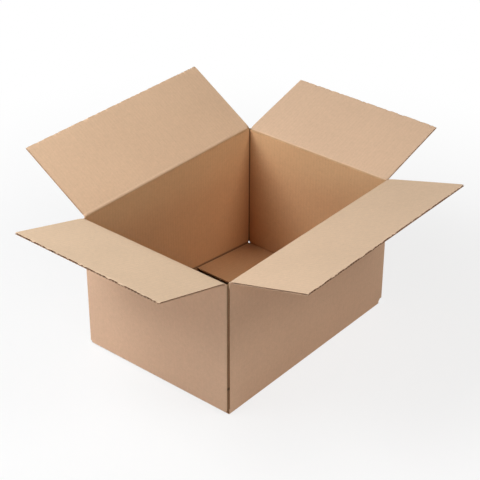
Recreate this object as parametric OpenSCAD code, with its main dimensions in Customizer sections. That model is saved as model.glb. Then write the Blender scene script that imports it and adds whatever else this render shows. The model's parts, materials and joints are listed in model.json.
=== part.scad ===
// Regular slotted box of single-wall corrugated board, set up with its bottom closed and taped
// and its four top flaps folded open. The origin is the bottom centre, X runs along the box.

/* [Box] */
// Inside length
inner_l = 430; // [350:5:600]
// Inside width
inner_w = 310; // [220:5:340]
// Inside height under the closed flaps
inner_h = 245; // [150:5:400]

/* [Board] */
// Thickness of the board
board = 3; // [2.4:0.1:3.6]
// Spacing of the flutes
flute_pitch = 6.5; // [5.5:0.25:9]
// Thickness of each flat liner
liner = 0.35; // [0.25:0.05:0.5]
// Height of the wavy medium where it is cut straight through
medium = 0.35; // [0.25:0.05:0.5]
// Width of the medium's glued crests
crest = 1; // [0.6:0.1:1.6]

/* [Slots and creases] */
// Distance from a corner of the box to the side edge of each flap
slot_inset = 4.5; // [4:0.25:8]
// Height of the bottom slots above the crease of the short walls
slot_overrun = 5; // [3.5:0.5:10]
// Gap between two flaps that meet in the middle
seam_gap = 1; // [0.6:0.1:4]
// Radius of the groove pressed in on the inside of a fold
groove_r = 1.2; // [0.8:0.1:1.5]
// Depth of a top crease's hinge line under the outer face
hinge_depth = 1; // [0.8:0.1:1.3]
// Radius of the folded ridge on the hinge line
ridge_r = 0.5; // [0.3:0.05:0.6]
// Running clearance of a top flap
clearance = 0.3; // [0.2:0.05:0.5]
// Length of crushed solid board at a top flap's crease
crushed_l = 10; // [7:0.5:16]
// Height over which the top of a wall narrows to its crease
crease_h = 4; // [3.8:0.1:6]
// Depth of the open flutes in the free edge of the right inner bottom flap
flute_depth = 12; // [6:1:30]

/* [Glued joint] */
// Width of the glued tab inside the front wall
joint_w = 35; // [25:1:50]
// Distance of the tab's ends from the flaps
joint_end = 6; // [4:0.5:20]
// Slant of the tab's ends
joint_slant = 9; // [0:0.5:20]
// How far the glued tab is pressed into the front wall
joint_press = 0.3; // [0.15:0.05:0.5]
// How far the front wall's raw edge stands back from the side edges of its flaps
joint_step = 0.5; // [0.25:0.05:1.5]

/* [Opening angles] */
// Front flap, measured outwards from upright
front_open = 73.5; // [0:0.5:135]
// Rear flap
rear_open = 57.5; // [0:0.5:135]
// Left flap
left_open = 75; // [0:0.5:135]
// Right flap
right_open = 74; // [0:0.5:135]
// Spring-back of the right inner bottom flap
right_lift = 6; // [0:0.5:10]
// Spring-back of the left inner bottom flap
left_lift = 3; // [0:0.5:10]

/* [Bottom tape] */
// Width of the tape
tape_w = 50; // [36:1:75]
// Thickness of the tape
tape_t = 0.1; // [0.05:0.01:0.2]
// Distance of the tape's ends from the side edges of the flaps
tape_inset = 3; // [1:0.5:20]

/* [Worn corner] */
// Radius of the worn bottom corner at the right end of the front wall
worn_r = 11; // [8:0.5:16]
// How far the worn round reaches through the faces, for a clean edge
worn_proud = 0.3; // [0.1:0.05:0.5]

/* [Hidden] */
$fn = 48;
kraft = "#c49a6c";
kraft_light = "#d3b48c";
tape_brown = "#b08a5a";
closed_angle = 90;
widest_angle = 140;
crease_slack = 3;

outer_l = inner_l + 2 * board;
outer_w = inner_w + 2 * board;
long_half = outer_l / 2 - slot_inset;
short_half = outer_w / 2 - slot_inset;
flap_len = outer_w / 2 - hinge_depth - seam_gap / 2;

outer_floor_z = tape_t;
inner_floor_z = outer_floor_z + board;
floor_z = inner_floor_z + board;
slot_z = inner_floor_z + slot_overrun;
short_axis_z = floor_z + inner_h + board - hinge_depth;
long_axis_z = short_axis_z + board + clearance;

crease_in = (board - hinge_depth) / tan(closed_angle / 2 - crease_slack);
crease_out = hinge_depth / tan((180 - widest_angle) / 2 - crease_slack);
wall_top_z = short_axis_z - crease_h;
nose_r = ridge_r + clearance;

core_low = liner - hinge_depth;
core_high = board - hinge_depth - liner;
void_wide = (flute_pitch - crest) / 2;
void_narrow = crest / 2;
edge_open = flute_pitch / 5;

tab_low_z = floor_z + joint_end;
tab_high_z = floor_z + inner_h - joint_end;
tab_y = board - joint_press - outer_w / 2;

// Lays a section drawn as inwards, upwards along X, centred
module along_x(length) {
    rotate([90, 0, 90]) linear_extrude(length, center = true) children();
}

// Turns a piece drawn for the front wall to another wall, with its zero at a distance from the centre
module at_wall(turn, reach, height) {
    rotate([0, 0, turn]) translate([0, -reach, height]) children();
}

// Section of a rounded fold about its inner corner, in the quarter between -X and -Y
module fold() {
    intersection() {
        circle(board);
        translate([-board, -board]) square(board);
    }
}

// Corners of the flute that a cut leaves open along its edge
function cut_flute() = [[0, core_low], [edge_open, core_low], [edge_open / 2, core_high], [0, core_high]];

// Plan of the four walls. The left wall is folded in behind the raw edge of the front wall, where
// the glued tab carries on
module walls_plan() {
    fold_y = tab_y + board;
    fold_centres = [
        [board - outer_l / 2, fold_y],
        [outer_l / 2 - board, board - outer_w / 2],
        [outer_l / 2 - board, outer_w / 2 - board],
        [board - outer_l / 2, outer_w / 2 - board],
    ];
    difference() {
        union() {
            translate([joint_step - long_half, -outer_w / 2])
                square([long_half + outer_l / 2 - joint_step - board, board]);
            translate([outer_l / 2 - board, board - outer_w / 2])
                square([board, outer_w - 2 * board]);
            translate([board - outer_l / 2, outer_w / 2 - board])
                square([outer_l - 2 * board, board]);
            translate([-outer_l / 2, fold_y])
                square([board, outer_w / 2 - board - fold_y]);
            translate([board - outer_l / 2, tab_y]) square(board);
            for (i = [0:3]) translate(fold_centres[i]) rotate(90 * i) fold();
        }
        for (centre = fold_centres) translate(centre) circle(groove_r);
        translate([joint_step - long_half, hinge_depth - outer_w / 2]) polygon(cut_flute());
    }
}

// Top of one wall down to a depth, running one board on into the wall: it narrows to the ridge
// on which the flap turns
module wall_top(half, drop) {
    along_x(2 * half)
        union() {
            polygon([
                [0, 0],
                [-hinge_depth, -crease_out],
                [-hinge_depth, -drop - board],
                [board - hinge_depth, -drop - board],
                [board - hinge_depth, -crease_in],
            ]);
            circle(ridge_r);
        }
}

// Foot of one wall up to a height, running one board on into the wall, with its fold and its bottom
// flap, which springs up by an angle and shows open flutes to a depth in its free edge
module wall_foot(half, height, lift, open_depth) {
    under = board * [sin(lift), -cos(lift)];
    reach = (outer_w / 2 - board - seam_gap / 2) * [cos(lift), sin(lift)];
    difference() {
        along_x(2 * half)
            translate([board, board])
                difference() {
                    union() {
                        translate([-board, 0]) square([board, height]);
                        fold();
                        polygon([[0, 0], [0, -board], under, under + reach, reach]);
                    }
                    circle(groove_r);
                }
        if (open_depth > 0)
            translate([0, board + reach.x, board + reach.y])
                rotate([lift, 0, 0])
                    translate([0, clearance, hinge_depth - board])
                        rotate([90, 0, 0])
                            linear_extrude(clearance + open_depth)
                                for (corners = hollows(half)) polygon(corners);
    }
}

// Glued tab, with slanted ends
module glued_tab() {
    translate([board - outer_l / 2, tab_y + board, 0])
        rotate([90, 0, 0])
            linear_extrude(board)
                polygon([
                    [0, tab_low_z],
                    [joint_w - board, tab_low_z + joint_slant],
                    [joint_w - board, tab_high_z - joint_slant],
                    [0, tab_high_z],
                ]);
}

// Removes what lies outside a ball at the corner where the front and right walls meet the floor
module worn_corner() {
    reach = worn_r - worn_proud;
    translate([outer_l / 2 - reach, reach - outer_w / 2, outer_floor_z + reach])
        difference() {
            translate([0, -2 * worn_r, -2 * worn_r]) cube(2 * worn_r);
            sphere(worn_r);
        }
}

module box_body() {
    color(kraft)
        difference() {
            union() {
                translate([0, 0, slot_z])
                    linear_extrude(wall_top_z - slot_z) walls_plan();
                translate([0, 0, wall_top_z])
                    linear_extrude(short_axis_z - wall_top_z)
                        intersection() {
                            walls_plan();
                            for (x = [-1, 1], y = [-1, 1])
                                translate([x * outer_l / 2, y * outer_w / 2])
                                    square(2 * (slot_inset - clearance), center = true);
                        }
                for (turn = [0, 180]) {
                    at_wall(turn, outer_w / 2 - hinge_depth, long_axis_z)
                        wall_top(long_half, long_axis_z - wall_top_z);
                    at_wall(turn, outer_w / 2, outer_floor_z)
                        wall_foot(long_half, slot_z - outer_floor_z, 0, 0);
                }
                for (turn = [-90, 90]) {
                    at_wall(turn, outer_l / 2 - hinge_depth, short_axis_z)
                        wall_top(short_half, crease_h);
                    at_wall(turn, outer_l / 2, inner_floor_z)
                        wall_foot(
                            short_half,
                            slot_z - inner_floor_z,
                            turn < 0 ? left_lift : right_lift,
                            turn < 0 ? 0 : flute_depth
                        );
                }
                glued_tab();
            }
            worn_corner();
        }
}

// Corners of one hollow between the medium and a liner, wide at the inner liner where up is 1
function hollow(x, up) =
    let (
        wide_y = up > 0 ? core_high : core_low,
        narrow_y = up > 0 ? core_low + medium : core_high - medium
    )
    [
        [x - void_wide, wide_y],
        [x + void_wide, wide_y],
        [x + void_narrow, narrow_y],
        [x - void_narrow, narrow_y],
    ];

// Hollows of a flap, each its four corners, in turn at one liner and the other
function hollows(half) =
    let (
        step = flute_pitch / 2,
        room = half - edge_open - medium - void_wide,
        count = 2 * floor(room / step) + 1
    )
    [for (i = [0:count - 1]) hollow((i - (count - 1) / 2) * step, i % 2 == 0 ? 1 : -1)];

// Section across the flutes, with the last flute on each side cut open
module fluted_section(half) {
    face_low = -hinge_depth;
    face_high = board - hinge_depth;
    inside = hollows(half);
    rim = [
        [-half, face_low],
        [half, face_low],
        [half, core_low],
        [half - edge_open, core_low],
        [half - edge_open / 2, core_high],
        [half, core_high],
        [half, face_high],
        [-half, face_high],
        [-half, core_high],
        [edge_open / 2 - half, core_high],
        [edge_open - half, core_low],
        [-half, core_low],
    ];
    rim_path = [for (i = [0:len(rim) - 1]) i];
    inside_paths = [
        for (i = [0:len(inside) - 1]) [for (k = [0:3]) len(rim) + 4 * i + k]
    ];
    polygon(concat(rim, [for (corners = inside) each corners]), concat([rim_path], inside_paths));
}

// One top flap, upright over its hinge line and drawn for the front wall
module flap(half) {
    along_x(2 * half)
        difference() {
            polygon([
                [0, 0],
                [board - hinge_depth, crease_in],
                [board - hinge_depth, crushed_l],
                [-hinge_depth, crushed_l],
                [-hinge_depth, crease_out],
            ]);
            circle(nose_r);
        }
    translate([0, 0, crushed_l])
        linear_extrude(flap_len - crushed_l) fluted_section(half);
}

module front_flap() {
    color(kraft_light)
        at_wall(0, outer_w / 2 - hinge_depth, long_axis_z) rotate([front_open, 0, 0]) flap(long_half);
}

module rear_flap() {
    color(kraft_light)
        at_wall(180, outer_w / 2 - hinge_depth, long_axis_z) rotate([rear_open, 0, 0]) flap(long_half);
}

module left_flap() {
    color(kraft_light)
        at_wall(-90, outer_l / 2 - hinge_depth, short_axis_z) rotate([left_open, 0, 0]) flap(short_half);
}

module right_flap() {
    color(kraft_light)
        at_wall(90, outer_l / 2 - hinge_depth, short_axis_z) rotate([right_open, 0, 0]) flap(short_half);
}

module bottom_tape() {
    color(tape_brown)
        translate([tape_inset - long_half, -tape_w / 2, 0])
            cube([2 * (long_half - tape_inset), tape_w, tape_t]);
}

box_body();
front_flap();
rear_flap();
left_flap();
right_flap();
bottom_tape();
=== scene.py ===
import json
import math

import bmesh
import bpy
from mathutils import Matrix, Vector, noise


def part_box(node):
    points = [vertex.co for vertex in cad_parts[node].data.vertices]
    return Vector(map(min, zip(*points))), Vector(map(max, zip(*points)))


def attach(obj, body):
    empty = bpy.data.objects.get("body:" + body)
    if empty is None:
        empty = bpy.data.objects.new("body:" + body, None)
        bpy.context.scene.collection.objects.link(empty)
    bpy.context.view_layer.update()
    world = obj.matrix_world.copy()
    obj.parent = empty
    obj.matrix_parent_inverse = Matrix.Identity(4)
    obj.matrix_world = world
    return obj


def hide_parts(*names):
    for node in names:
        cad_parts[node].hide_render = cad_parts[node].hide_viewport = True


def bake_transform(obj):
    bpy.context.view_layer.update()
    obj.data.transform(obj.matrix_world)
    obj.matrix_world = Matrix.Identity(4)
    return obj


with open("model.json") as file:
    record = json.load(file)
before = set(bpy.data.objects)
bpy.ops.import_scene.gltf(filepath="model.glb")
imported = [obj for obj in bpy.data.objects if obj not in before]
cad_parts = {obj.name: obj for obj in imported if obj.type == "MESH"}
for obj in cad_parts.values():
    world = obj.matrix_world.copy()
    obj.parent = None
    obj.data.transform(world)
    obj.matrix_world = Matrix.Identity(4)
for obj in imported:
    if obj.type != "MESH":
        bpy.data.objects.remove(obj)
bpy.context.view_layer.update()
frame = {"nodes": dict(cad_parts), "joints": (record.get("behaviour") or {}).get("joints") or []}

mm = 0.001
scene = bpy.context.scene


class Wire:
    # a shader socket that can be used in sums; each sum adds its own Math node
    def __init__(self, paint, socket):
        self.paint = paint
        self.socket = socket

    def out(self, name):
        return Wire(self.paint, self.socket.node.outputs[name])

    def maths(self, operation, *values):
        return self.paint.node("ShaderNodeMath", {"operation": operation}, dict(enumerate(values)))

    def __add__(self, other):
        return self.maths("ADD", self, other)

    def __radd__(self, other):
        return self.maths("ADD", other, self)

    def __sub__(self, other):
        return self.maths("SUBTRACT", self, other)

    def __rsub__(self, other):
        return self.maths("SUBTRACT", other, self)

    def __mul__(self, other):
        return self.maths("MULTIPLY", self, other)

    def __rmul__(self, other):
        return self.maths("MULTIPLY", other, self)

    def __gt__(self, other):
        return self.maths("GREATER_THAN", self, other)

    def __lt__(self, other):
        return self.maths("LESS_THAN", self, other)

    def __abs__(self):
        return self.maths("ABSOLUTE", self)

    def sine(self):
        return self.maths("SINE", self)

    def larger(self, other):
        return self.maths("MAXIMUM", self, other)

    def smaller(self, other):
        return self.maths("MINIMUM", self, other)

    # 0 up to low, 1 from high on, smooth between them
    def rise(self, low, high):
        settings = {"interpolation_type": "SMOOTHSTEP"}
        return self.paint.node("ShaderNodeMapRange", settings, {0: self, 1: low, 2: high})


class Paint:
    # one material, or the world, while its nodes are made
    def __init__(self, name, tree=None):
        if tree is None:
            self.material = bpy.data.materials.new(name)
            self.material.use_nodes = True
            tree = self.material.node_tree
        self.tree = tree
        self.tree.nodes.clear()

    def node(self, kind, settings=None, inputs=None, output=0):
        made = self.tree.nodes.new(kind)
        for key, value in (settings or {}).items():
            setattr(made, key, value)
        for key, value in (inputs or {}).items():
            if isinstance(value, Wire):
                self.tree.links.new(value.socket, made.inputs[key])
            else:
                made.inputs[key].default_value = value
        return Wire(self, made.outputs[output] if len(made.outputs) else None)

    def vector(self, operation, *values, output=0):
        settings = {"operation": operation}
        return self.node("ShaderNodeVectorMath", settings, dict(enumerate(values)), output)

    def axes(self, vector):
        x = self.node("ShaderNodeSeparateXYZ", None, {0: vector})
        return x, x.out("Y"), x.out("Z")

    # noise about zero, by its patches per metre, its detail and its roughness
    def cloud(self, point, scale, detail=2.0, roughness=0.5):
        inputs = {"Vector": point, "Scale": scale, "Detail": detail, "Roughness": roughness}
        return self.node("ShaderNodeTexNoise", None, inputs) - 0.5

    def mix(self, factor, a, b):
        return self.node("ShaderNodeMix", {"data_type": "RGBA"}, {0: factor, 6: a, 7: b}, 2)

    def dim(self, colour, factor):
        return self.node("ShaderNodeVectorMath", {"operation": "SCALE"}, {0: colour, 3: factor})

    # height in metres, as it shows on the surface
    def bump(self, height):
        inputs = {"Strength": 1.0, "Distance": 1.0, "Height": height}
        return self.node("ShaderNodeBump", None, inputs)

    def finish(self, shader, kind="Material"):
        self.node("ShaderNodeOutput" + kind, None, {"Surface": shader})
        return getattr(self, "material", None)


def opaque(colour):
    return (*colour, 1.0)


# a new piece from its finished bmesh
def makePiece(name, mesh, materials):
    data = bpy.data.meshes.new(name)
    mesh.to_mesh(data)
    mesh.free()
    piece = bpy.data.objects.new(name, data)
    scene.collection.objects.link(piece)
    for material in materials:
        data.materials.append(material)
    return piece


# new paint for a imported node
def dressNode(name, material):
    materials = frame["nodes"][name].data.materials
    materials.clear()
    materials.append(material)


# Kraft paper, as every face of the board shows it
paper = {
    "pitch": 6.5 * mm,                   # flutes that show through the liner
    "washShade": 0.016,
    "washDepth": 0.030 * mm,
    "washNoise": (14, 1.0),
    "washVariety": 1.6,
    "driftNoise": (7, 2.0),
    "driftShade": 0.10,
    "mottleNoise": (150, 3.0, 0.55),
    "mottleShade": 0.15,
    "mottleDepth": 0.10 * mm,
    "mottleRoughness": 0.1,
    "grainNoise": (750, 3.0, 0.65),
    "grainShade": 0.24,
    "grainDepth": 0.07 * mm,
    "bowNoise": (9, 1.0),                # soft dents of a used box
    "bowDepth": 2.6 * mm,
    "darkFibres": {
        "shift": (0.0, 0.0, 0.0),
        "lines": (300, 1.0),
        "width": (0.002, 0.009),
        "breaks": (120, 1.0),
        "showing": (0.0, 0.12),
        "shade": 0.10,
    },
    "paleFibres": {
        "shift": (0.7, 0.3, 0.5),
        "lines": (420, 1.0),
        "width": (0.002, 0.010),
        "breaks": (75, 1.0),
        "showing": (0.02, 0.14),
        "shade": 0.08,
    },
    "specks": {"perMetre": 260, "size": (0.08, 0.16), "without": 0.93, "shade": 0.30},
    "roughness": 0.88,
    "specular": 0.22,
}


# thin bent lines where a fine noise is zero, shown only where a coarser one is high
def fibres(paint, point, kind):
    moved = paint.vector("ADD", point, kind["shift"])
    line = 1 - abs(paint.cloud(moved, *kind["lines"])).rise(*kind["width"])
    return kind["shade"] * line * paint.cloud(point, *kind["breaks"]).rise(*kind["showing"])


# dark dots in the few cells that have one
def specks(paint, point, kind):
    inputs = {"Vector": point, "Scale": kind["perMetre"]}
    apart = paint.node("ShaderNodeTexVoronoi", None, inputs, "Distance")
    chance, _, _ = paint.axes(apart.out("Color"))
    return kind["shade"] * (1 - apart.rise(*kind["size"])) * (chance > kind["without"])


# colour and height come as the piece has them, and get the pulp, fibres and flute lines
def paperShader(paint, point, colour, across, height=0.0, wash=1.0):
    mottle = paint.cloud(point, *paper["mottleNoise"])
    grain = paint.cloud(point, *paper["grainNoise"])
    uneven = 1 + paper["washVariety"] * paint.cloud(point, *paper["washNoise"])
    wave = (across * (2 * math.pi / paper["pitch"])).sine() * (wash * uneven)
    shade = 1 + paper["driftShade"] * paint.cloud(point, *paper["driftNoise"])
    shade = shade + paper["mottleShade"] * mottle + paper["grainShade"] * grain
    shade = shade + paper["washShade"] * wave - specks(paint, point, paper["specks"])
    shade = shade - fibres(paint, point, paper["darkFibres"])
    shade = shade + fibres(paint, point, paper["paleFibres"])
    relief = height + paper["washDepth"] * wave + paper["mottleDepth"] * mottle
    relief = relief + paper["grainDepth"] * grain
    relief = relief + paper["bowDepth"] * paint.cloud(point, *paper["bowNoise"])
    return paint.node("ShaderNodeBsdfPrincipled", None, {
        "Base Color": paint.dim(colour, shade),
        "Roughness": paper["roughness"] + paper["mottleRoughness"] * mottle,
        "Specular IOR Level": paper["specular"],
        "Normal": paint.bump(relief),
    })


print("stage: kraft paper on the walls")
board = {
    "outside": (0.66, 0.436, 0.296),
    # painted shade: the inner liner is darker and redder than the same liner on the flap tops, for
    # the light bounced inside the box
    "inside": (0.610, 0.357, 0.187),
    "faded": (0.655, 0.411, 0.222),      # painted light: the inside, lighter near the opening
    "fade": (150 * mm, 240 * mm),
    "halfLength": 218 * mm,              # from the middle to the outer faces
    "halfWidth": 158 * mm,
    "underside": 0.1 * mm,               # height of the bottom's outer face
    "skin": 1.3 * mm,                    # depth inside which a face counts as an outer one
    "outsideWash": 0.35,                 # flutes show less through the outer liner
    "lying": 0.7,                        # how far up or down a lying face points
    "innerFlaps": 4 * mm,                # over this a lying face is on an inner bottom flap
    # rubbed paper on the outer folds, and the worn bottom corner
    "worn": (0.70, 0.55, 0.42),
    "rubWidth": 4 * mm,
    "rubNoise": (60, 3.0, 0.6),
    "rubShowing": (-0.1, 0.25),
    "rubShare": 0.22,
    "wornCorner": (218 * mm, -158 * mm, 0.0),
    "wornReach": (9 * mm, 17 * mm),
    "wornShare": 0.7,
    "wornNoise": (420, 4.0, 0.7),
    "wornDepth": 0.5 * mm,
    # the front wall's raw edge, in the gap beside the left wall's fold, from and to in x and y;
    # its colour is the raw board made darker with painted shade of the gap
    "seam": (0.26, 0.125, 0.08),
    "seamFrom": (-213.3 * mm, -157.6 * mm),
    "seamTo": (-212.2 * mm, -150 * mm),
    # painted shade in the inner upright folds
    "pressedWidth": 4.4 * mm,
    "pressedSoft": 0.6 * mm,
    "pressedTone": 0.55,
    # inner bottom flap on the right: its root, its height there and its slope, and the line of
    # painted shade where it meets the long walls
    "flapRoot": 213 * mm,
    "flapHeight": 6.6 * mm,
    "flapSlope": 0.105,
    "footNear": (0.5 * mm, 4.5 * mm),
    "footWidth": 4 * mm,
    "footTone": 0.6,
    # painted deep shade on its free edge and on the floor under it
    "shadeFrom": 56 * mm,
    "shadeTo": 116 * mm,
    "edgeTop": 27 * mm,
    "edgeFacing": -0.5,
    "floorTop": 13 * mm,
    "floorShare": 0.8,
    "shadeTone": 0.88,
    # painted light and shade: the inner faces are lightest in this corner and darker away from it
    "paleCorner": (218 * mm, 158 * mm, 0.0),
    "paleReach": 320 * mm,
    "paleTone": 0.04,
    "darkTone": 0.115,
}


# painted light and shade of the inner faces; fold rises to 0 in the upright corners of the box
def innerPaintedShade(paint, point, fold, overWidth, facingX):
    x, _, z = paint.axes(point)
    # painted shade along the inner upright folds
    cornerShade = (fold + board["pressedWidth"]).rise(-board["pressedSoft"], board["pressedSoft"])
    # painted shade along the line where the right inner flap meets the long walls
    overFlap = abs(z - (board["flapHeight"] + (board["flapRoot"] - x) * board["flapSlope"]))
    contactShade = (1 - overFlap.rise(*board["footNear"])) * (overWidth > -board["footWidth"])
    # painted deep shade on the right inner flap's free edge and on the floor under it
    edge = (facingX < board["edgeFacing"]) * (z < board["edgeTop"])
    deep = edge.larger((z < board["floorTop"]) * board["floorShare"])
    deep = deep * (x > board["shadeFrom"]) * (x < board["shadeTo"])
    # painted light near the far corner and painted shade away from it
    plan = paint.vector("MULTIPLY", point, (1, 1, 0))
    away = paint.vector("DISTANCE", plan, board["paleCorner"], output="Value")
    pale = 1 + board["paleTone"] - board["darkTone"] * away.rise(0.0, board["paleReach"])
    folds = (1 - board["pressedTone"] * cornerShade) * (1 - board["footTone"] * contactShade)
    return folds * (1 - board["shadeTone"] * deep) * pale


def wallPaint():
    paint = Paint("kraftWalls")
    point = paint.node("ShaderNodeTexCoord").out("Object")
    x, y, z = paint.axes(point)
    facingX, facingY, facingZ = paint.axes(point.out("Normal"))
    overLength = abs(x) - board["halfLength"]
    overWidth = abs(y) - board["halfWidth"]
    fold = overLength.smaller(overWidth)
    outside = overLength.larger(overWidth).larger(board["underside"] - z) > -board["skin"]
    onFlap = (abs(facingZ) > board["lying"]) * (z > board["innerFlaps"])
    alongY = (abs(facingX) > abs(facingY)).larger(onFlap)
    across = x * (1 - alongY) + y * alongY
    # painted light: the inner faces turn lighter towards the opening
    inside = paint.mix(z.rise(*board["fade"]), opaque(board["inside"]), opaque(board["faded"]))
    colour = paint.mix(outside, inside, opaque(board["outside"]))
    rub = paint.cloud(point, *board["rubNoise"]).rise(*board["rubShowing"])
    rub = fold.rise(-board["rubWidth"], 0.0) * rub * board["rubShare"]
    colour = paint.mix(rub, colour, opaque(board["worn"]))
    apart = paint.vector("DISTANCE", point, board["wornCorner"], output="Value")
    worn = (1 - apart.rise(*board["wornReach"])) * outside
    colour = paint.mix(worn * board["wornShare"], colour, opaque(board["worn"]))
    # the front wall's raw edge, made darker with painted shade of the gap beside the fold
    seam = (x > board["seamFrom"][0]) * (x < board["seamTo"][0])
    seam = seam * (y > board["seamFrom"][1]) * (y < board["seamTo"][1])
    colour = paint.mix(seam, colour, opaque(board["seam"]))
    # the painted light and shade go on the inner faces only
    shade = innerPaintedShade(paint, point, fold, overWidth, facingX)
    colour = paint.dim(colour, 1 + (shade - 1) * (1 - outside))
    height = worn * paint.cloud(point, *board["wornNoise"]) * board["wornDepth"]
    wash = 1 - (1 - board["outsideWash"]) * outside
    return paint.finish(paperShader(paint, point, colour, across, height, wash))


dressNode("box_body", wallPaint())


print("stage: flaps")
flap = {
    "top": (0.685, 0.48, 0.322),
    "under": (0.66, 0.436, 0.296),
    "cut": (0.47, 0.30, 0.20),           # edges of the liners
    "raw": (0.34, 0.185, 0.115),         # flutes
    # painted light and shade: each flap's colour is set lighter or darker for how the light falls
    # on it
    "tone": {
        "front_flap": (1.0, 1.03, 1.055),
        "rear_flap": (1.01, 0.985, 0.965),
        "left_flap": (1.0, 1.045, 1.07),
        "right_flap": (0.955, 0.935, 0.94),
    },
    "wash": 0.7,
    "faceReach": 0.8,                    # a liner's face points at least this far out
    "length": 156.5 * mm,
    "topFace": 2.0 * mm,                 # over the hinge line
    "underFace": -1.0 * mm,
    "liner": 0.32 * mm,
    "medium": 0.26 * mm,
    "embed": 0.08 * mm,                  # how far the flutes sink into the liners
    "fluteSteps": 12,
    "linerStep": 2.5 * mm,
    # millimetres from the hinge line, closest where the board bends or is crushed
    "rows": (3.0, 3.6, 4.2, 4.8, 5.4, 6.0, 6.8, 8, 9.5, 11, 13, 15, 17, 20, 32, 48, 64, 80,
             96, 112, 128, 144, 149.5, 152, 154, 155.5),
    "grooveAt": 5.4 * mm,                # pressed line beside the fold
    "grooveWidth": 1.5 * mm,
    "grooveDepth": 0.1 * mm,
    "crushDepth": 0.3 * mm,              # the board is thinner near its fold
    "crushReach": 8 * mm,
    "pinchDepth": 1.3 * mm,              # the knife pinches the free edge here and there
    "pinchReach": 6 * mm,
    "pinchesPerMetre": 150,
    "pinchPlace": (3.1, 7.7),            # where in the noise the pinches are taken
    "pinchLevel": 0.15,
    "pinchGain": 2.8,
    "bendFrom": 8 * mm,
    "bendTo": 18 * mm,
    "bendStep": 0.1 * mm,
    "sway": 0.9 * mm,
    "swayNoise": (9, 11, 3.7),           # along, out, and from flap to flap
    "swayPower": 1.5,
    # the short flaps close under the long ones, so each bows away from the others
    "bows": {"front_flap": -1, "rear_flap": -1, "left_flap": 1, "right_flap": 1},
    # degrees from upright at the lower and the higher end, and the turn just past the fold
    "ends": {
        "front_flap": (74.4, 73.8, 0.5),
        "rear_flap": (58.2, 57.5, -1.5),
        "left_flap": (75.0, 75.0, 7.0),
        "right_flap": (74.0, 73.6, 2.0),
    },
}

up = Vector((0, 0, 1))
hinges = {}
for joint in frame["joints"]:
    name = joint["child"]
    along = Vector([abs(a) for a in joint["axis"]])
    first, second, bend = flap["ends"][name]
    hinges[name] = {
        "at": Vector(joint["pos_m"]),
        "along": along,
        "inward": Vector(joint["axis"]).cross(up) * -1,
        "half": Vector(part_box(name)[1]).dot(along),
        "open": (first + second) / 2,
        "twist": (second - first) / 2,
        "bend": bend,
        "bow": flap["bows"][name],
        "title": "".join(word.title() for word in name.split("_")),
    }


def clamp(value):
    return min(1.0, max(0.0, value))


# directions on a flap at an angle from upright: away from its fold, and out of its top face
def flapDirections(hinge, degrees):
    angle = math.radians(degrees)
    away = up * math.cos(angle) - hinge["inward"] * math.sin(angle)
    out = hinge["inward"] * math.cos(angle) + up * math.sin(angle)
    return away, out


# a flap seen from its side: how far along and out each row is, and how far it is turned
def flapPath(rows, bend):
    step = flap["bendStep"]
    path, x, y, reach = [], 0.0, 0.0, 0.0
    for row in rows:
        while reach < row:
            share = clamp((reach - flap["bendFrom"]) / (flap["bendTo"] - flap["bendFrom"]))
            turn = bend * (1 - share * share * (3 - 2 * share))
            x += step * math.cos(turn)
            y += step * math.sin(turn)
            reach += step
        path.append((x, y, turn))
    return path


# how far the top face sinks near the fold and the free edge
def crush(along, reach):
    beside = (reach - flap["grooveAt"]) / flap["grooveWidth"]
    groove = flap["grooveDepth"] * math.exp(-beside ** 2)
    fold = flap["crushDepth"] * math.exp(-(reach / flap["crushReach"]) ** 2)
    edge = max(0.0, 1 - (flap["length"] - reach) / flap["pinchReach"])
    wobble = noise.noise(Vector((along * flap["pinchesPerMetre"], *flap["pinchPlace"])))
    knife = clamp(flap["pinchLevel"] + flap["pinchGain"] * wobble)
    return groove + fold + flap["pinchDepth"] * knife * edge ** 2


# one layer of a flap as a closed sheet: height gives its upper side at a place along and a reach
def flapLayer(mesh, hinge, columns, height, thickness, slot):
    rows = [reach * mm for reach in flap["rows"]] + [flap["length"]]
    last = len(rows) - 1
    path = flapPath(rows, math.radians(hinge["bend"]))
    made = bmesh.ops.create_grid(mesh, x_segments=columns, y_segments=last, size=0.5)["verts"]
    faces = list({face for vert in made for face in vert.link_faces})
    perMetreAlong, perMetreOut, perDegree = flap["swayNoise"]
    for vert in made:
        side = vert.co.x * 2
        along = side * hinge["half"]
        row = round((vert.co.y + 0.5) * last)
        reach = rows[row]
        x, y, turn = path[row]
        away, out = flapDirections(hinge, hinge["open"] + hinge["twist"] * side)
        place = (along * perMetreAlong, reach * perMetreOut, hinge["open"] * perDegree)
        bow = hinge["bow"] * flap["sway"] * (1 + noise.noise(Vector(place))) / 2
        lift = height(along, reach) + bow * (reach / flap["length"]) ** flap["swayPower"]
        vert.co = (hinge["at"] + hinge["along"] * along + away * (x - lift * math.sin(turn))
                   + out * (y + lift * math.cos(turn)))
    bmesh.ops.recalc_face_normals(mesh, faces=faces)
    middle = faces[len(faces) // 2]
    if middle.normal.dot(out) < 0:
        bmesh.ops.reverse_faces(mesh, faces=faces)
    for face in faces:
        face.material_index = slot
    bmesh.ops.solidify(mesh, geom=faces, thickness=thickness)


# the flap's top colour, with its painted light and shade
def topColour(name):
    return opaque([a * b for a, b in zip(flap["top"], flap["tone"][name])])


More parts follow.
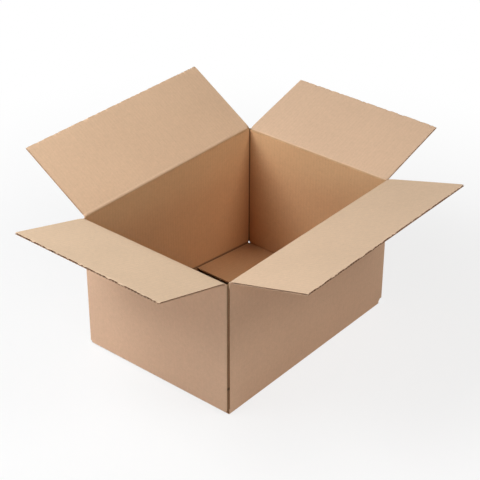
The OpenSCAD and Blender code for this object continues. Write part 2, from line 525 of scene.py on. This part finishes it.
def linerPaint(name, hinge):
    paint = Paint("kraft" + hinge["title"])
    _, out = flapDirections(hinge, hinge["open"])
    point = paint.node("ShaderNodeTexCoord").out("Object")
    facing = paint.vector("DOT_PRODUCT", point.out("Normal"), tuple(out), output="Value")
    across = paint.vector("DOT_PRODUCT", point, tuple(hinge["along"]), output="Value")
    colour = paint.mix(facing > 0.0, opaque(flap["under"]), topColour(name))
    onFace = abs(facing) > flap["faceReach"]
    colour = paint.mix(onFace, opaque(flap["cut"]), colour)
    return paint.finish(paperShader(paint, point, colour, across, wash=flap["wash"]))


def mediumPaint():
    paint = Paint("rawFlutes")
    point = paint.node("ShaderNodeTexCoord").out("Object")
    x, _, _ = paint.axes(point)
    return paint.finish(paperShader(paint, point, flap["raw"], x, wash=0.0))


# two liners and the flutes between them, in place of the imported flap
def makeFlap(name, hinge, raw):
    wide = 2 * hinge["half"]

    def top(along, reach):
        return flap["topFace"] - crush(along, reach)

    def under(along, reach):
        return flap["underFace"] + flap["liner"]

    def flute(along, reach):
        high = top(along, reach)
        room = high - flap["underFace"] - 2 * flap["liner"]
        swing = max(0.0, room / 2 - flap["medium"] / 2 + flap["embed"])
        middle = (high + flap["underFace"] + flap["medium"]) / 2
        return middle + swing * math.sin(2 * math.pi * along / paper["pitch"])

    mesh = bmesh.new()
    flat = round(wide / flap["linerStep"])
    fine = round(wide / paper["pitch"] * flap["fluteSteps"])
    flapLayer(mesh, hinge, flat, top, flap["liner"], 0)
    flapLayer(mesh, hinge, flat, under, flap["liner"], 0)
    flapLayer(mesh, hinge, fine, flute, flap["medium"], 1)
    piece = makePiece(name.replace("flap", "board"), mesh, [linerPaint(name, hinge), raw])
    for face in piece.data.polygons:
        face.use_smooth = face.material_index == 1
    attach(piece, name)
    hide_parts(name)


rawFlutes = mediumPaint()
for name, hinge in hinges.items():
    makeFlap(name, hinge, rawFlutes)


print("stage: folded creases")
crease = {
    "reach": 4.2 * mm,                   # how far the folded strip runs onto the wall and the flap
    "taper": 0.8,                        # share of it after which the strip dips into the paper
    "tuck": 0.4 * mm,
    "innerFace": 2.0 * mm,               # the wall's inner face from the hinge line
    "flapFace": 1.72 * mm,               # the flap's top face, a little crushed
    "outerFace": 1.0 * mm,               # the outer faces of both, on the other side
    "proud": 0.06 * mm,
    "innerRound": 1.6 * mm,
    "innerSteps": 8,
    "outerRound": 1.1 * mm,
    "outerSteps": 4,
    # how far out the inner corner is left when the fold is pressed flat
    "fullness": {"front_flap": 0.45, "rear_flap": 0.65, "left_flap": 0.5, "right_flap": 0.5},
    "endInset": 0.15 * mm,
    "step": 6 * mm,
    "wander": 0.22 * mm,                 # how unevenly the fold runs
    "wanderNoise": (45, 120),
    "wanderAt": 3 * mm,
    "wanderEnds": 6 * mm,
    "bendHalf": 2.0 * mm,
    "turnHalf": 0.9 * mm,                # where the wall's colour turns to the flap's
    "wallTone": 0.2,                     # painted shade: the wall's side is darker
    "wash": 0.3,
    # rubbed paper and a painted highlight on the fold's ridge, broken by fine cracks along it
    "ridge": (0.70, 0.53, 0.37),
    "ridgeShare": 0.12,
    "ridgeStart": (-1.0 * mm, 0.2 * mm),
    "ridgeEnd": (0.6 * mm, 2.0 * mm),
    "cracksAcross": 900,
    "cracksAlong": 120,
    "crackNoise": (1.0, 3.0, 0.6),
    "crackShowing": (-0.25, 0.15),
    "crackDepth": 0.12 * mm,
}


def creasePaint(name, hinge):
    paint = Paint("crease" + hinge["title"])
    point = paint.node("ShaderNodeTexCoord").out("Object")
    facing = point.out("Normal")
    _, out = flapDirections(hinge, hinge["open"])
    along, inward = hinge["along"], hinge["inward"]
    across = paint.vector("DOT_PRODUCT", point, tuple(along), output="Value")
    within = paint.vector("DOT_PRODUCT", facing, tuple(inward), output="Value") > 0.0
    above = paint.vector("DOT_PRODUCT", facing, tuple(out), output="Value") > 0.0
    stretch = Vector([crease["cracksAcross"]] * 3)
    stretch -= along * (crease["cracksAcross"] - crease["cracksAlong"])
    cracks = paint.vector("MULTIPLY", point, tuple(stretch))
    cracks = paint.cloud(cracks, *crease["crackNoise"])
    _, _, z = paint.axes(point)
    height = z - hinge["at"].z
    # the wall's side takes the inside's painted light and a painted shade of its own
    wall = paint.mix(within, opaque(board["outside"]), opaque(board["faded"]))
    wall = paint.dim(wall, 1 - crease["wallTone"] * within)
    sheet = paint.mix(above, opaque(flap["under"]), topColour(name))
    colour = paint.mix(height.rise(-crease["turnHalf"], crease["turnHalf"]), wall, sheet)
    # painted highlight and rubbed paper along the fold's ridge
    ridge = height.rise(*crease["ridgeStart"]) * (1 - height.rise(*crease["ridgeEnd"]))
    ridge = ridge * within.larger(above) * cracks.rise(*crease["crackShowing"])
    colour = paint.mix(ridge * crease["ridgeShare"], colour, opaque(crease["ridge"]))
    relief = cracks * crease["crackDepth"]
    return paint.finish(paperShader(paint, point, colour, across, relief, crease["wash"]))


# outline of the folded board about its hinge line, x inwards and y up, and the places in it of
# its inner and its outer corner
def creaseOutline(angle, fullness):
    turn = Matrix.Rotation(angle, 2)
    away, out = turn @ Vector((0, 1)), turn @ Vector((1, 0))
    reach, near, tuck = crease["reach"], crease["reach"] * crease["taper"], crease["tuck"]
    inner = crease["innerFace"] + crease["proud"]
    over = crease["flapFace"] + crease["proud"]
    outer = -crease["outerFace"] - crease["proud"] / 2
    innerCorner = out * over + away * ((inner - out.x * over) / away.x)
    outerCorner = Vector((outer, outer * math.tan(angle / 2)))
    points = [
        Vector((inner - tuck, -reach)),
        Vector((inner, -near)),
        innerCorner * fullness,
        out * over + away * near,
        out * (over - tuck) + away * reach,
        out * (outer + tuck) + away * reach,
        out * outer + away * near,
        outerCorner,
        Vector((outer, -near)),
        Vector((outer + tuck, -reach)),
    ]
    return points, 2, 7


# the outline drawn out along the hinge line, at the angle of its flap
def makeCrease(name, hinge):
    angle = math.radians(hinge["open"] - hinge["bend"])
    points, innerPlace, outerPlace = creaseOutline(angle, crease["fullness"][name])
    along, inward = hinge["along"], hinge["inward"]
    half = hinge["half"] - crease["endInset"]
    mesh = bmesh.new()
    corners = [mesh.verts.new(inward * p.x + up * p.y - along * half) for p in points]
    mesh.faces.new(corners)
    outerRound = (outerPlace, crease["outerRound"], crease["outerSteps"])
    innerRound = (innerPlace, crease["innerRound"], crease["innerSteps"])
    for place, width, steps in (outerRound, innerRound):
        bmesh.ops.bevel(mesh, geom=[corners[place]], offset=width, segments=steps, profile=0.5,
                        affect="VERTICES", material=-1)
    made = bmesh.ops.extrude_face_region(mesh, geom=mesh.faces[:], use_keep_orig=True)
    moved = [v for v in made["geom"] if isinstance(v, bmesh.types.BMVert)]
    bmesh.ops.translate(mesh, vec=along * 2 * half, verts=moved)
    long = [e for e in mesh.edges if abs((e.verts[0].co - e.verts[1].co).dot(along)) > half]
    cuts = round(2 * half / crease["step"])
    bmesh.ops.subdivide_edges(mesh, edges=long, cuts=cuts, use_grid_fill=True)
    bmesh.ops.recalc_face_normals(mesh, faces=mesh.faces[:])
    perMetreAlong, perMetreUp = crease["wanderNoise"]
    for vert in mesh.verts:
        place = vert.co.dot(along)
        x, y = vert.co.dot(inward), vert.co.z
        free = max(0.0, 1 - abs(math.hypot(x, y) / crease["wanderAt"] - 1))
        free *= min(1.0, (half - abs(place)) / crease["wanderEnds"])
        sway = noise.noise(Vector((place * perMetreAlong, hinge["open"], y * perMetreUp)))
        vert.co += (inward + up) * sway * free * crease["wander"] + hinge["at"]
    piece = makePiece(name.replace("flap", "crease"), mesh, [creasePaint(name, hinge)])
    for face in piece.data.polygons:
        face.use_smooth = True
    bend = (up * math.cos(angle / 2) - inward * math.sin(angle / 2)) * crease["bendHalf"]
    tuple(hinge["at"] - bend)
    tuple(hinge["at"] + bend)
    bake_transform(piece)


for name, hinge in hinges.items():
    makeCrease(name, hinge)


print("stage: tape")
tape = {
    "film": (0.46, 0.30, 0.15),
    "roughness": 0.22,
    "ripplesPerMetre": (30, 600, 600),   # stretched along the tape
    "rippleNoise": (1.0, 3.0),
    "rippleShade": 0.2,
    "rippleDepth": 0.03 * mm,
    "bubbleNoise": (220, 2.0),           # air under the film
    "bubbleShowing": (0.1, 0.2),
    "bubbleShade": 0.25,
    "bubbleDepth": 0.015 * mm,
    "bubbleRoughness": 0.3,
}


def tapePaint():
    paint = Paint("tapeFilm")
    point = paint.node("ShaderNodeTexCoord").out("Object")
    ripple = paint.vector("MULTIPLY", point, tape["ripplesPerMetre"])
    ripple = paint.cloud(ripple, *tape["rippleNoise"])
    bubbles = paint.cloud(point, *tape["bubbleNoise"]).rise(*tape["bubbleShowing"])
    shade = 1 + tape["rippleShade"] * ripple + tape["bubbleShade"] * bubbles
    relief = tape["rippleDepth"] * ripple + tape["bubbleDepth"] * bubbles
    return paint.finish(paint.node("ShaderNodeBsdfPrincipled", None, {
        "Base Color": paint.dim(tape["film"], shade),
        "Roughness": tape["roughness"] + tape["bubbleRoughness"] * bubbles,
        "Normal": paint.bump(relief),
    }))


dressNode("bottom_tape", tapePaint())


print("stage: floor and light")
white = (1.0, 1.0, 1.0, 1.0)
studio = {
    "floorSize": 14.0,
    "floorDrop": 0.2 * mm,
    "floorColour": (0.80, 0.80, 0.80),
    "nearShare": 0.78,                   # how much of the floor's white is its own near the box
    "nearReach": 0.35,
    "farReach": 1.1,                     # from here on all of it is
    "lamps": {
        "keyLamp": {"at": (-1.0, 0.7, 1.5), "watts": 23.3, "tint": (0.99, 1.0, 1.01)},
        "hazeLamp": {"at": (-0.8, 1.1, 1.7), "watts": 10.9, "tint": (0.93, 1.0, 1.05)},
        "leftLamp": {"at": (-2.6, 0.6, 0.9), "watts": 7.4, "tint": (0.97, 1.0, 1.05)},
        "rightLamp": {"at": (0.6, -1.8, 2.2), "watts": 25.4, "tint": (1.03, 1.0, 0.96)},
        "nearLamp": {"at": (-1.0, -2.0, 1.0), "watts": 9.2, "tint": (1.06, 1.0, 0.95)},
    },
    "lampSize": 1.2,
    "aim": (0.0, 0.0, 0.2),
}


# 1 where the camera, a gloss or a clear material sees the background
def seenBackground(paint):
    path = paint.node("ShaderNodeLightPath")
    return path.larger(path.out("Is Glossy Ray")).larger(path.out("Is Transmission Ray"))


def floorPaint():
    paint = Paint("studioFloor")
    matt = paint.node("ShaderNodeBsdfDiffuse", None, {"Color": opaque(studio["floorColour"])})
    glow = paint.node("ShaderNodeEmission", None, {"Color": white, "Strength": 1.0})
    point = paint.node("ShaderNodeTexCoord").out("Object")
    far = paint.vector("LENGTH", point, output="Value")
    far = far.rise(studio["nearReach"], studio["farReach"])
    own = studio["nearShare"] + (1 - studio["nearShare"]) * far
    seen = seenBackground(paint) * own
    return paint.finish(paint.node("ShaderNodeMixShader", None, {0: seen, 1: matt, 2: glow}))


def makeFloor():
    mesh = bmesh.new()
    bmesh.ops.create_grid(mesh, x_segments=1, y_segments=1, size=studio["floorSize"] / 2)
    bmesh.ops.translate(mesh, vec=(0, 0, -studio["floorDrop"]), verts=mesh.verts[:])
    makePiece("studioFloor", mesh, [floorPaint()])


# white to look at, and without light of its own
def makeSky():
    world = bpy.data.worlds.new("studioSky")
    scene.world = world
    world.use_nodes = True
    paint = Paint("studioSky", world.node_tree)
    dark = paint.node("ShaderNodeBackground", None, {"Color": white, "Strength": 0.0})
    pale = paint.node("ShaderNodeBackground", None, {"Color": white, "Strength": 1.0})
    seen = seenBackground(paint)
    paint.finish(paint.node("ShaderNodeMixShader", None, {0: seen, 1: dark, 2: pale}), "World")


def makeLamps():
    for name, lamp in studio["lamps"].items():
        data = bpy.data.lights.new(name, "AREA")
        data.shape = "DISK"
        data.size = studio["lampSize"]
        data.energy = lamp["watts"]
        data.color = lamp["tint"]
        item = bpy.data.objects.new(name, data)
        scene.collection.objects.link(item)
        item.location = lamp["at"]
        beam = Vector(studio["aim"]) - Vector(lamp["at"])
        item.rotation_euler = beam.to_track_quat("-Z", "Y").to_euler()


makeFloor()
makeSky()
makeLamps()


print("stage: camera")
camera = {
    "at": (-1.59924, -1.32874, 1.44234),
    "turn": (58.583, -0.171, -50.192),   # degrees about X, Y and Z
    "lens": 105.67,
    "sensor": 36.0,
    "sight": 50.0,                       # how far it sees
}


def makeCamera():
    data = bpy.data.cameras.new("camera")
    data.lens = camera["lens"]
    data.sensor_width = camera["sensor"]
    data.clip_end = camera["sight"]
    viewer = bpy.data.objects.new("camera", data)
    viewer.location = camera["at"]
    viewer.rotation_euler = [math.radians(a) for a in camera["turn"]]
    scene.collection.objects.link(viewer)
    scene.camera = viewer


makeCamera()
scene.view_settings.view_transform = "Standard"
